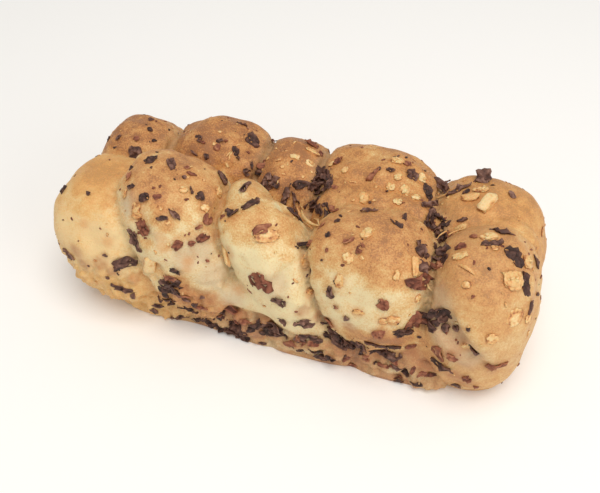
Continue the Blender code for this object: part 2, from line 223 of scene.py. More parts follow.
# Kibbled onion that the picture shows: pixels across and down, length, width, turn in the picture.
DARK_ONION = (
    (136, 154, 9.5, 7, -62), (150, 161, 7.5, 4.5, 40), (172, 166, 6.5, 4, -80),
    (236, 153, 8, 3.5, -85), (252, 140, 8, 5, -50), (243, 125, 5.5, 4, -35),
    (223, 178, 7, 5.5, -65), (247, 171, 5.5, 4, -65), (270, 182, 9.5, 7.5, 15),
    (298, 185, 9, 4, 5), (285, 197, 9, 3, 75), (317, 181, 12, 5.5, 80),
    (328, 183, 8, 5, 60), (391, 170, 4.5, 3.5, -20),
    (313, 203, 6.5, 5, 0), (328, 211, 7, 3.5, 90), (427, 190, 5.5, 4.5, 70),
    (411, 176, 6.5, 5, 20), (446, 187, 8, 3.5, -75), (457, 190, 14, 3, 15),
    (484, 179, 8.5, 5, 0), (512, 195, 4, 3.5, 0), (199, 139, 5, 3.3, -30),
    (132, 187, 4, 3.5, 0), (145, 196, 6.5, 5, 70), (174, 214, 6.5, 2.6, -50),
    (134, 240, 10, 4.5, -70), (128, 263, 11, 6, 10), (69, 255, 7, 4, -38),
    (124, 290, 8, 2.8, -20), (177, 271, 6.5, 4, 0), (165, 284, 5, 5, 0),
    (176, 292, 9, 2.5, -58), (190, 309, 8.5, 2.5, -12), (181, 315, 5.5, 3, 0),
    (200, 319, 8, 4.5, 10), (232, 212, 7.5, 5.5, 60), (250, 204, 9.5, 2.5, 50),
    (245, 187, 7, 2.5, 60), (294, 213, 10.5, 5, -62), (300, 246, 5.5, 3.2, 0),
    (279, 301, 9.5, 5, -38), (330, 292, 6.3, 4, 80), (370, 211, 7.5, 3, 10),
    (404, 217, 5.2, 2.6, 80), (396, 224, 7.5, 3.5, -50), (433, 212, 8, 6, 30),
    (439, 231, 6.5, 5, 40), (504, 233, 10, 6, -20), (491, 244, 9.5, 2.8, 10),
    (515, 257, 9, 8.5, 0), (524, 282, 11, 5.5, -65), (421, 250, 10.5, 5, -75),
    (426, 268, 10, 6, -70), (440, 252, 7.3, 6.3, 0), (402, 333, 10, 4.2, -5),
    (429, 320, 10.5, 7, 80), (441, 314, 7.3, 6.5, 0),
    (220, 328, 9.5, 5.5, -15), (238, 333, 10.5, 7, -10), (271, 327, 13, 6.5, -10),
    (283, 321, 4.5, 4, 0), (305, 323, 9, 4.2, -18), (309, 336, 10.5, 5.2, -15),
    (335, 338, 15, 6, -32), (361, 344, 9, 4.2, -15),
    (372, 343, 7.3, 2.5, 0), (393, 346, 6.5, 4.2, 0), (394, 356, 8, 5.2, 0),
    (397, 367, 6.5, 3.2, 90), (323, 358, 9, 4.2, 0), (442, 367, 10.5, 3.2, 0),
    (417, 385, 5.2, 2.5, 0), (474, 349, 6.3, 2.6, -32),
)
RED_ONION = (
    (260, 164, 6, 3, 50), (312, 145, 7, 4, 0), (338, 161, 6.5, 3.5, 75),
    (372, 175, 6.5, 3.3, 45), (207, 219, 5.4, 3.6, 70), (199, 226, 4, 3, 20),
    (144, 228, 9, 6.5, -60), (177, 245, 5, 4, 30), (203, 238, 7, 3.5, 15),
    (261, 282, 11.5, 9, -20), (348, 241, 5.2, 2.5, 10), (359, 250, 6.3, 3.2, 85),
    (383, 304, 5.2, 4.5, -40), (461, 247, 6.3, 5.2, 0), (440, 266, 6.3, 5.2, 0),
    (420, 281, 11.5, 6.5, 0), (378, 334, 5.2, 5, 0), (415, 321, 10, 9, 60),
    (466, 378, 7.3, 5.2, 10), (495, 367, 8.5, 3.2, 10), (330, 323, 5.2, 4.2, 0),
    (438, 353, 8.5, 7, 60), (452, 356, 5.2, 4.2, 0),
)
# Cheese baked onto the crust in crumbs, read in the same way.
CHEESE = (
    (218, 192, 6, 5.5, 0), (295, 157, 5, 3.5, -20),
    (310, 164, 5.2, 3.5, -30), (313, 152, 8.5, 3.2, -40), (332, 164, 4.2, 3.3, 80),
    (345, 170, 4, 3.5, 45), (364, 198, 6, 5.5, 60), (367, 233, 7.5, 5, 60),
    (397, 161, 7.5, 4.5, 0), (398, 177, 4.2, 4, 0), (390, 187, 4.7, 4.5, 0),
    (404, 190, 5.2, 5, 0), (416, 198, 4.7, 4.2, 0), (397, 202, 4.2, 4, 0),
    (422, 178, 5.7, 4.2, 80), (481, 190, 7.8, 4.2, -5),
    (461, 229, 7.3, 4.2, 20), (489, 237, 7.8, 4.2, 0),
    (460, 256, 7.3, 3.6, 0), (527, 262, 7.3, 6.3, 0), (513, 280, 10.4, 8.8, 0),
)
# Cheese that melted flat.
MELTED = (
    (267, 236, 10.5, 6, 10), (136, 209, 7, 4.5, 60), (304, 262, 9.4, 4.5, 70), (309, 293, 5.2, 4.2, 0),
    (339, 281, 6.3, 4.2, 70), (348, 258, 5.2, 5.2, 0), (515, 317, 9, 8, 0), (528, 319, 4.2, 4.2, 0),
    (492, 339, 5.2, 5.2, 0), (466, 346, 5, 4, 30), (384, 321, 5, 4, 0), (357, 312, 5, 2.8, 0),
)
# Sticks of grated cheese that kept their shape.
STICKS = (
    (227, 254, 11, 5, 75), (150, 263, 11, 6, 84), (470, 198, 8.5, 4.2, -8), (487, 203, 11, 5.5, 56),
    (415, 266, 8.3, 3.2, 85),
)
STICK_PILLOW = 4.5
# Smaller pieces that only the looks have, read in the same way.
SMALL_DARK = (
    (150, 130, 2.8, 2.6, 0), (151, 120, 2.8, 1.9, 0), (119, 138, 3.4, 2.1, 70),
    (154, 141, 2.6, 1.6, 0), (169, 130, 1.3, 1, 0), (132, 168, 2.3, 2.1, 50),
    (184, 178, 2, 1.6, 0), (109, 139, 2.6, 1.6, 80), (220, 141, 3.6, 2.1, -10),
    (207, 157, 3.4, 2.6, -50), (194, 153, 4.7, 1.2, -35), (191, 190, 4.1, 2.8, 80),
    (199, 196, 5.2, 3.6, 80), (162, 218, 5.2, 2.1, 0), (89, 193, 3, 2.6, 0),
    (64, 190, 4.7, 3, 60), (107, 277, 2.6, 2.2, 0), (112, 285, 2.6, 2, 0),
    (133, 297, 4.1, 2.6, 80), (119, 268, 4.7, 3.6, 70), (104, 255, 4.1, 1.6, 0),
    (130, 231, 2.6, 2.2, 0), (135, 237, 6, 3, 80), (176, 281, 4, 3.4, 0),
    (168, 299, 6.8, 2.1, 10), (202, 297, 2.6, 2, 0), (195, 305, 3.2, 1.6, 0),
    (224, 310, 4.7, 1.6, 80), (232, 323, 3.6, 3, 0), (287, 336, 3, 2.4, 0),
    (262, 343, 4.1, 2.1, 0), (319, 210, 6.3, 3.2, -35), (338, 221, 4.7, 2.1, 0),
    (308, 275, 6.3, 1.6, 85), (322, 260, 1.4, 1.2, 0), (328, 235, 3.2, 2.1, 0),
    (346, 318, 3.6, 3, 60), (322, 323, 2.6, 1.6, 0), (457, 328, 3, 2.5, 0),
    (468, 329, 2.6, 1.6, 0), (445, 328, 4, 3.5, 0), (399, 382, 4.2, 2.1, 0),
    (537, 294, 2.6, 2, 0), (426, 161, 2.6, 1.8, 0), (530, 309, 7, 2.6, 80),
    (536, 262, 8, 3.4, 80), (462, 220, 4.2, 2.1, 0), (324, 205, 2.5, 2, 0),
    (380, 169, 2.1, 2, 0), (396, 157, 3.6, 1.2, 5), (258, 173, 5, 3.6, 80),
    (252, 165, 5, 1.6, 85), (370, 203, 1.6, 1.2, 0), (387, 192, 1.2, 1, 0),
    (160, 300, 4, 2, -40), (172, 303, 5, 1.8, 10), (187, 300, 4, 1.6, -20),
    (210, 322, 5, 3, -20), (226, 334, 5, 3, 0), (250, 330, 5, 3, 20), (259, 322, 4, 2, 60),
    (344, 342, 5, 3, -20), (352, 346, 5, 3, 10), (382, 346, 5, 2.4, -10), (315, 364, 4, 2, 0),
    (445, 258, 6, 4.4, 30), (428, 196, 5, 4, 0), (322, 172, 5, 4, 60), (409, 326, 4, 2.4, 30),
    (436, 322, 5, 3, 40), (430, 226, 5, 3.6, 20), (448, 224, 4, 2.6, 50),
    (340, 342, 7, 3.6, -22), (350, 345, 6, 3, -15), (362, 348, 7, 3, -12), (376, 350, 7, 3, -8),
    (388, 351, 6, 3, -14), (326, 334, 6, 3.4, -30), (256, 326, 6, 4, 10), (266, 333, 6, 4, -20),
    (278, 330, 6, 4, -10), (229, 331, 6, 4, -14), (246, 338, 6, 3.4, -14), (212, 326, 5, 3, -10),
    (168, 288, 7, 4.4, 20), (163, 292, 6, 3, -70), (178, 286, 5, 3, -50), (158, 306, 6, 2.4, -10),
    (176, 318, 6, 2.6, -14), (190, 322, 7, 3.4, -12), (207, 330, 6, 2.6, -20), (300, 350, 6, 3, -20),
    (316, 352, 6, 3, -24), (330, 358, 6, 2.6, -20), (300, 340, 6, 3.4, -10), (318, 340, 6, 3.6, -14),
    (426, 256, 6, 3, 85), (435, 246, 5, 3, 40), (424, 205, 4, 2.6, 60), (467, 192, 6, 2, 20),
)
SMALL_RED = (
    (136, 139, 3.6, 2.6, 0), (129, 176, 4.1, 2.6, 75), (187, 168, 2.6, 2.1, 0),
    (191, 174, 4.1, 2.1, -10), (226, 141, 2, 1.4, 0), (217, 148, 3.4, 3.3, 0),
    (203, 142, 3, 1.4, -35), (248, 153, 3.1, 2.1, -50), (258, 168, 7, 2.6, 80),
    (272, 141, 2.6, 2.3, 0), (321, 154, 3.1, 2.6, 80), (334, 188, 4.2, 3.1, -30),
    (332, 208, 3, 2.6, 0), (335, 211, 4, 3, 0), (400, 203, 2.8, 2.2, 0),
    (408, 164, 4.2, 2.6, 0), (192, 243, 3.1, 2.6, 0), (207, 261, 3.1, 2.6, 0),
    (310, 243, 3.6, 2.8, 0), (474, 237, 3.1, 2.6, 0), (262, 229, 7.5, 4, 10),
    (157, 197, 3.4, 2.6, 0), (145, 229, 3, 2.4, 30), (327, 250, 2, 1.4, 70),
    (170, 278, 6, 3.4, 10), (184, 296, 5, 2, 0), (200, 308, 6, 2.2, -10), (222, 316, 6, 2.4, -20),
    (244, 322, 6, 3, -16), (290, 344, 5, 3, -10), (366, 360, 5, 2.6, 0), (384, 366, 5, 2.2, -20),
    (352, 366, 4, 2.2, 10), (430, 374, 5, 2.2, 10), (410, 346, 5, 3, 0), (236, 312, 5, 2.4, 30),
    (323, 225, 2.2, 1.6, 60), (449, 235, 4, 3.4, 40), (336, 307, 3, 2, 0),
)
SMALL_CHEESE = (
    (220, 132, 2.2, 2, 0), (214, 144, 2, 1.8, 0), (230, 156, 5.2, 1.4, 60),
    (238, 145, 3, 1, 20), (227, 165, 4, 1.4, -60), (279, 160, 3.6, 2.1, 0),
    (268, 159, 3.1, 2.6, 0), (282, 167, 2.1, 1.8, 0), (284, 174, 2.1, 1.6, 0),
    (303, 177, 1.6, 1.4, 0), (312, 172, 1.6, 1.4, 0), (286, 151, 1.4, 1.2, 0),
    (353, 200, 2, 1.6, 0), (353, 182, 3.4, 1.2, -20), (376, 187, 2.1, 1.6, 80),
    (125, 194, 4.1, 3.1, 70), (137, 216, 5.2, 3.1, 0), (168, 223, 2.6, 2.4, 0),
    (205, 208, 4.1, 3.8, 0), (495, 248, 3.6, 3, 0),
    (467, 285, 4.1, 3.6, 0), (542, 232, 5.2, 3.1, 80), (362, 258, 2.1, 1.8, 0),
    (358, 312, 5.2, 2.6, 0), (393, 320, 5.7, 5, 0), (418, 298, 4.1, 2.6, 80),
    (397, 275, 5.2, 3.1, 70), (528, 333, 3.1, 2.6, 0), (183, 190, 3.6, 3, 0),
    (204, 180, 1.8, 1.6, 0), (187, 177, 2.4, 2, 0), (160, 208, 3, 1.6, -30),
)
# Cheese that melted away and only left a golden mark: pixels across and down, radius.
GOLDEN_MARKS = (
    (160, 238, 2.6), (163, 246, 3), (188, 262, 1.4), (178, 240, 1.2), (187, 269, 1), (306, 262, 2.6),
    (137, 209, 2.6), (229, 252, 2.4), (240, 290, 2), (140, 217, 2.4), (108, 242, 1.6), (84, 224, 1.2),
)
# Flakes that stand up: pixels across and down, length, width, turn and how far they lean, degrees.
UPRIGHT = (
    (447, 190, 3.8, 10, 0, 80), (484, 180, 8, 8, 0, 44), (285, 197, 9, 2.6, 72, 55),
    (296, 198, 6.5, 2.6, -60, 50), (245, 187, 7, 2, 60, 45), (296, 206, 7, 3, -70, 50),
    (252, 205, 9, 2.4, 52, 40), (424, 222, 6, 3, 60, 50), (430, 206, 7, 4, 40, 50),
    (437, 218, 7, 4, -20, -50), (431, 218, 6, 4, 80, 60), (436, 228, 6, 4, 20, 50),
    (442, 226, 5, 3, 60, -60), (443, 237, 6, 3.6, 50, -40), (437, 238, 5, 3, -30, 60),
    (434, 203, 5, 3, -40, 40), (445, 252, 6, 4, 10, 55), (437, 262, 6, 3.6, -40, -50),
    (318, 186, 7, 4, 60, 50), (325, 178, 6, 4, -30, -50), (314, 178, 6, 4, 20, 60),
    (330, 186, 5, 3.4, 80, 50), (311, 185, 6, 4, 40, 45), (326, 174, 6, 4, 10, 50),
    (320, 193, 6, 4, 70, -45), (322, 183, 6, 4.4, 0, 35), (264, 184, 5, 3, 50, 50),
    (268, 180, 7, 4, 30, 40), (275, 186, 6, 3.4, -20, -45),
    (313, 205, 6, 4, 20, 50), (320, 212, 6, 3, -50, 50), (433, 312, 6, 4, 50, 50),
    (441, 318, 5, 3.6, -20, -50), (338, 338, 8, 3.4, -28, 40), (350, 344, 7, 3, -15, -40),
    (232, 330, 6, 3.4, -10, 50), (268, 326, 6, 3.4, 10, 50), (276, 331, 6, 3.4, -20, -45),
    (170, 284, 6, 3.4, 30, 50), (176, 290, 6, 2.6, -50, 45), (404, 330, 6, 3, 0, 50),
)
# Dry strands, from one picture point to another, and how thick they are.
STRANDS = (
    ((297, 207), (312, 228), 2.2), ((435, 240), (466, 229), 1), ((459, 265), (475, 275), 2),
    ((226, 157), (231, 152), 0.8), ((301, 206), (319, 226), 1.8),
    ((314, 219), (320, 226), 1.2), ((436, 198), (452, 193), 1), ((427, 279), (432, 291), 1),
)

# Toppings on the far side and the ends, strewn in the sizes and at the spacing seen in front.
STREWN = 64
STREWN_GAP = 13
STREWN_LONG = (5, 10)
STREWN_NARROW = (0.4, 0.8)
STREWN_SPAN = 0.45
STREWN_HEIGHTS = (4, 50)
STREWN_TURNED_AWAY = 0.25
STREWN_LOWEST = 4
STREWN_LOWEST_SLOPE = -0.2
STREWN_TRIES = 4000
STREWN_SEED = 12
# Shares of the strewn toppings that are dark onion and red onion; the rest is cheese.
DARK_SHARE = 0.54
RED_SHARE = 0.26
# Flakes in the lower band and specks all over: how many, their sizes and between which heights they
# lie. Lines from outside place them. These end within a share of the loaf's length and some
# millimetres across and up, and come down at up to the slope.
BAND_FLAKES = 70
BAND_FLAKE_SIZE = (2, 6)
BAND_FLAKE_HEIGHTS = (2, 17)
BAND_DARK_SHARE = 0.55
SPECKS = 420
SPECK_SIZE = (0.5, 1.4)
SPECK_HEIGHTS = (2, 90)
SCATTER_ALONG = 0.46
SCATTER_ACROSS = 20
SCATTER_UP = 40
SCATTER_SLOPE = 1.6
SEED = 11
# No topping reaches lower than this, in millimetres.
ABOVE_TRAY = 0.4


def to_linear(hex_colour):
    """An sRGB hex colour as the linear values that a shader takes."""
    values = []
    for start in (1, 3, 5):
        part = int(hex_colour[start:start + 2], 16) / 255
        values.append(part / 12.92 if part <= 0.04045 else ((part + 0.055) / 1.055) ** 2.4)
    return (*values, 1)


def picture_axes():
    """The picture's right, up and towards-the-eye directions."""
    azimuth, elevation = math.radians(EYE_AZIMUTH), math.radians(EYE_ELEVATION)
    right = Vector((math.cos(azimuth), math.sin(azimuth), 0))
    back = Vector((math.sin(azimuth), -math.cos(azimuth), 0)) * math.cos(elevation)
    back.z = math.sin(elevation)
    return right, back.cross(right), back


RIGHT, UP, BACK = picture_axes()
EYE = Vector(LOOKED_AT) + BACK * EYE_DISTANCE


# Dough

def pillow(direction, power):
    """A unit sphere's point, pushed out towards the corners of its box."""
    total = sum(abs(part) ** power for part in direction)
    return direction * total ** (-1 / power)


def add_ball(bm, ball, number, power):
    """One dough ball, lumpy from shaping, in millimetres."""
    x, y, z, half_x, half_y, half_z, turn, lean = ball
    made = bmesh.ops.create_icosphere(bm, subdivisions=BALL_STEPS, radius=1)["verts"]
    spin = Matrix.Rotation(math.radians(turn), 3, "Z")
    for vert in made:
        point = pillow(vert.co.normalized(), power)
        sized = spin @ Vector((point.x * half_x, point.y * half_y, point.z * half_z))
        lump = noise.noise(sized / LUMP_SPAN + Vector((LUMP_CHANGE * number, 0.5, 0)))
        swell = 1 + LUMP_DEPTH * lump / min(half_x, half_y, half_z)
        vert.co = sized * swell + Vector((x + lean * point.z, y, z))


def fused_dough():
    """The balls and their foot as one fine skin, cut level underneath, at the loaf's size."""
    bm = bmesh.new()
    low = FRONT_FOOT + BACK_FOOT + (CORE,)
    for number, ball in enumerate(FRONT_ROW + BACK_ROW + low + FOLDS):
        add_ball(bm, ball, number, FOOT_PILLOW if ball in low else PILLOW)
    mesh = bpy.data.meshes.new("crust")
    bm.to_mesh(mesh)
    bm.free()
    crust = bpy.data.objects.new("crust", mesh)
    bpy.context.scene.collection.objects.link(crust)
    fuse = crust.modifiers.new("fuse", "REMESH")
    fuse.mode = "VOXEL"
    fuse.voxel_size = VOXEL
    relax = crust.modifiers.new("relax", "SMOOTH")
    relax.iterations = SMOOTH_PASSES
    graph = bpy.context.evaluated_depsgraph_get()
    fine = bpy.data.meshes.new_from_object(crust.evaluated_get(graph))
    crust.modifiers.clear()
    crust.data = fine
    bm = bmesh.new()
    bm.from_mesh(fine)
    everything = bm.verts[:] + bm.edges[:] + bm.faces[:]
    cut = bmesh.ops.bisect_plane(
        bm, geom=everything, plane_co=(0, 0, 0), plane_no=(0, 0, 1), clear_inner=True
    )
    rim = [edge for edge in cut["geom_cut"] if isinstance(edge, bmesh.types.BMEdge)]
    bmesh.ops.contextual_create(bm, geom=rim)
    bmesh.ops.recalc_face_normals(bm, faces=bm.faces)
    bm.to_mesh(fine)
    bm.free()
    points = mesh_points(fine)
    low, high = points.min(axis=0), points.max(axis=0)
    middle = np.array([(low[0] + high[0]) / 2, (low[1] + high[1]) / 2, 0])
    stretch = np.array(LOAF_SIZE) / (high - low)
    set_points(fine, (points - middle) * stretch)
    return crust, middle, stretch


def mesh_points(mesh):
    points = np.empty(len(mesh.vertices) * 3)
    mesh.vertices.foreach_get("co", points)
    return points.reshape(-1, 3)


def mesh_normals(mesh):
    normals = np.empty(len(mesh.vertices) * 3)
    mesh.vertices.foreach_get("normal", normals)
    return normals.reshape(-1, 3)


def set_points(mesh, points):
    mesh.vertices.foreach_set("co", points.reshape(-1))
    mesh.update()


def ripple(points, span, seed, waves=20):
    """A smooth random height over space, about 1 high, whose bumps are span millimetres apart."""
    draw = np.random.RandomState(seed)
    heights = np.zeros(len(points))
    for _ in range(waves):
        way = draw.normal(size=3)
        way *= 2 * math.pi / span * draw.uniform(0.6, 1.4) / np.linalg.norm(way)
        heights += np.cos(points @ way + draw.uniform(0, 2 * math.pi))
    return heights * math.sqrt(2 / waves)


def depth_outside(points, ball, power):
    """How far each point lies outside a ball, in millimetres, and less than 0 inside it."""
    x, y, z, half_x, half_y, half_z, turn, lean = ball
    cos, sin = math.cos(math.radians(turn)), math.sin(math.radians(turn))
    away = points - np.array([x, y, z])
    away[:, 0] -= lean * away[:, 2] / half_z
    along = away[:, 0] * cos + away[:, 1] * sin
    across = away[:, 1] * cos - away[:, 0] * sin
    parts = (along / half_x, across / half_y, away[:, 2] / half_z)
    reach = sum(np.abs(part) ** power for part in parts) ** (1 / power)
    return np.linalg.norm(away, axis=1) * (1 - 1 / np.maximum(reach, 0.05))


def smooth_step(values, low, high):
    part = np.clip((values - low) / (high - low), 0, 1)
    return part * part * (3 - 2 * part)


def surface_tree(mesh, points):
    faces = [tuple(face.vertices) for face in mesh.polygons]
    return BVHTree.FromPolygons([Vector(point) for point in points], faces)


def seen_spot(tree, across, down):
    """Where the sight line through a picture point meets the crust: the place and its normal."""
    sight = RIGHT * (across - PICTURE[0] / 2) - UP * (down - PICTURE[1] / 2) - BACK * FOCAL
    place, normal, _, _ = tree.ray_cast(EYE, sight.normalized())
    return (place, normal) if place else None


def run_together(mesh, points, share):
    """Evens out the skin by a share for each point, as dough does where it ran together."""
    pairs = np.empty(len(mesh.edges) * 2, dtype=int)
    mesh.edges.foreach_get("vertices", pairs)
    pairs = pairs.reshape(-1, 2)
    pairs = pairs[(share[pairs] > 0).any(axis=1)]
    near, far = pairs.reshape(-1), pairs[:, ::-1].reshape(-1)
    count = np.maximum(np.bincount(near, minlength=len(points)), 1)
    for _ in range(RUN_TOGETHER_PASSES):
        sums = [np.bincount(near, points[far, axis], len(points)) for axis in range(3)]
        mean = np.stack(sums, axis=1) / count[:, None]
        points = points + (mean - points) * (RUN_TOGETHER_STEP * share)[:, None]
    return points


def shape_crust(crust, middle, stretch):
    """Deepens the creases, presses the listed hollows and bulges, and roughens the skin."""
    mesh = crust.data
    points = mesh_points(mesh)
    normals = mesh_normals(mesh)
    as_laid = points / stretch + middle
    balls = FRONT_ROW + BACK_ROW + FRONT_FOOT + BACK_FOOT + FOLDS
    low = FRONT_FOOT + BACK_FOOT
    by_ball = np.stack(
        [depth_outside(as_laid, ball, FOOT_PILLOW if ball in low else PILLOW) for ball in balls]
    )
    outside = np.stack([by_ball[list(group)].min(axis=0) for group in GROUPS])
    nearest = np.sort(outside, axis=0)
    seam = nearest[1] - nearest[0]
    row_pair = np.array(GROUP_ROWS)[np.argsort(outside, axis=0)[:2]]
    share = np.where(row_pair[0] == row_pair[1], 1, ROW_CREASE)
    share = np.where(row_pair.max(axis=0) == max(GROUP_ROWS), BAND_CREASE, share)
    pair = np.sort(np.argsort(outside, axis=0)[:2], axis=0)
    for first, second, shallow in GROWN_TOGETHER:
        share = np.where((pair[0] == first) & (pair[1] == second), shallow, share)
    crease = share * np.exp(-(seam / CREASE_WIDTH) ** 2)
    valley = np.exp(-(seam / VALLEY_WIDTH) ** 2)
    upper = np.delete(outside, BAND_GROUPS, axis=0).min(axis=0)
    band = smooth_step(upper - outside[list(BAND_GROUPS)].min(axis=0), *BAND_EDGE)
    rough = smooth_step(-points[:, 2], -ROUGH_BELOW, ROUGH_FADE - ROUGH_BELOW)
    rough *= smooth_step(outside.min(axis=0) - outside[list(ROUGH_GROUPS)].min(axis=0), -3, 0)
    above_tray = smooth_step(points[:, 2], *TRAY_FADE)
    lowest = np.minimum(LOWEST_SHARE * points[:, 2], LOWEST)
    lift = -CREASE_DEPTH * crease - VALLEY_DEPTH * valley
    # Swellings and ripples: height and spacing in millimetres, seed, and how strong they are where.
    for height, span, seed, where in (
        (0.36, 16, 6, 1),
        (0.12, 8, 3, 0.4 + 2 * valley),
        (0.1, 4, 4, 0.2 + 2 * valley + 2 * band),
        (0.6, 12, 8, band),
        (0.65, 6.5, 5, np.maximum(1.1 * band, rough)),
        (0.32, 3, 7, np.maximum(0.6 * band, rough)),
    ):
        lift += height * ripple(as_laid, span, seed) * where
    points = points + normals * (lift * above_tray)[:, None]
    tree = surface_tree(mesh, points)
    for across, down, radius, height in PRESSED:
        spot = seen_spot(tree, across, down)
        if spot is None:
            continue
        near = np.linalg.norm(points - np.array(spot[0]), axis=1) / radius
        fall = np.where(near < 1, (1 - near ** 2) ** 2, 0)
        points = points + np.array(spot[1]) * (height * fall * above_tray)[:, None]
    evened = np.zeros(len(points))
    for across, down, radius in RUN_TOGETHER:
        spot = seen_spot(tree, across, down)
        near = np.minimum(np.linalg.norm(points - np.array(spot[0]), axis=1) / radius, 1)
        evened = np.maximum(evened, (1 - near ** 2) ** 0.5 * above_tray)
    points = run_together(mesh, points, evened)
    crease *= 1 - evened
    valley *= 1 - evened
    points[:, 2] = np.maximum(points[:, 2], lowest)
    set_points(mesh, points)
    weights = np.exp(-np.maximum(outside, -2) / 2.5)
    return {"crease": crease, "valley": share * valley, "band": band, "weights": weights}


def add_attribute(mesh, name, values):
    attribute = mesh.attributes.new(name, "FLOAT", "POINT")
    attribute.data.foreach_set("value", np.asarray(values, dtype=np.float32))


def bake_levels(points, normals, marks):
    """How brown and how golden the crust is at each point, from each ball's own levels."""
    share = marks["weights"] / marks["weights"].sum(axis=0)
    top, side, low, start, low_height, golden, rosy = np.array(BAKE).T @ share
    height = np.clip((points[:, 2] - BROWNS_FROM) / BROWNS_OVER, 0, 1)
    facing = FACING_SHARE * normals[:, 2] + HEIGHT_SHARE * height
    facing += 0.08 * ripple(points, 26, 21) + 0.05 * ripple(points, 9, 22)
    bake = side + (top - side) * smooth_step((facing - start) / (1 - start), 0, 1)
    depth = low_height - points[:, 2] + LOW_WAVER * ripple(points, 20, 25)
    bake = bake + (low - bake) * smooth_step(depth, 0, LOW_FADE)
    bake += 0.05 * ripple(points, 14, 23) + 0.04 * ripple(points, 5, 24)
    bake += 0.22 * ripple(points, 15, 26) * marks["band"]
    return {"bake": np.clip(bake, 0, 1), "golden": golden, "rosy": rosy}


# Toppings

def torn_outline(draw, corners, steps):
    """The reach of a torn flake's outline in each of steps directions round it."""
    turn = draw.uniform(0, math.tau)
    angles = [turn + (i + draw.uniform(-0.35, 0.35)) * math.tau / corners for i in range(corners)]
    tips = [
        Vector((math.cos(angle), math.sin(angle))) * draw.uniform(0.75, 1.25) for angle in angles
    ]
    bite = draw.randrange(steps)
    reaches = []
    for step in range(steps):
        heading = Vector((math.cos(step * math.tau / steps), math.sin(step * math.tau / steps)))
        reach = 0.3
        for tip, other in zip(tips, tips[1:] + tips[:1]):
            edge = other - tip
            cross = heading.cross(edge)
            if abs(cross) < 1e-9:
                continue
            along = tip.cross(edge) / cross
            part = tip.cross(heading) / cross
            if along > 0 and -1e-6 <= part <= 1 + 1e-6:
                reach = along
        reach = (0.7 * reach + 0.28) * draw.uniform(0.8, 1.2)
        reaches.append(reach * 0.6 if step in (bite, (bite + 1) % steps) else reach)
    turned = zip(reaches[-1:] + reaches[:-1], reaches, reaches[1:] + reaches[:1])
    return [(before + 4 * reach + after) / 6 for before, reach, after in turned]


class Pieces:
    """Many small solids of one kind, gathered into one mesh with a tint for each."""

    def __init__(self):
        self.points = []
        self.faces = []
        self.tints = []
        self.rims = []

    def add(self, points, faces, tint, rims):
        start = len(self.points)
        sunk = max(0, ABOVE_TRAY - min(point.z for point in points))
        self.points += [point + Vector((0, 0, sunk)) for point in points]
        self.faces += [tuple(start + corner for corner in face) for face in faces]
        self.tints += [tint] * len(points)
        self.rims += rims

    def make(self, name, material, slot):
        mesh = bpy.data.meshes.new(name)
        mesh.from_pydata([point * MM for point in self.points], [], self.faces)
        add_attribute(mesh, "tint", self.tints)
        add_attribute(mesh, "rim", self.rims)
        mesh.shade_smooth()
        mesh.materials.append(material)
        piece = bpy.data.objects.new(name, mesh)
        bpy.context.scene.collection.objects.link(piece)
        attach(piece, "root")
        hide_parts("loaf")


def settle(tree, point, normal, conform):
    """A point laid on the crust under it, by conform from 0, where it is, to 1."""
    place, _, _, _ = tree.ray_cast(point + normal * 6, -normal, 12)
    return point.lerp(place, conform) if place else point


# A flake's rings, from its middle out, and the steps round it. A torn outline lies inside its box,
# so the growth makes the flake larger. The lie is how closely it follows the crust, from 0 to 1,
# and the rise how far it stands off it, in millimetres.
FLAKE_RINGS = (0.22, 0.42, 0.62, 0.82, 1)
FLAKE_STEPS = 20
FLAKE_GROWTH = 1.34
FLAKE_LIE = 0.8
FLAKE_RISE = 0.8
# Its broad and its narrow folds: how far apart in millimetres, and how high.
FLAKE_FOLDS = ((2.6, 1), (1.3, 0.9))


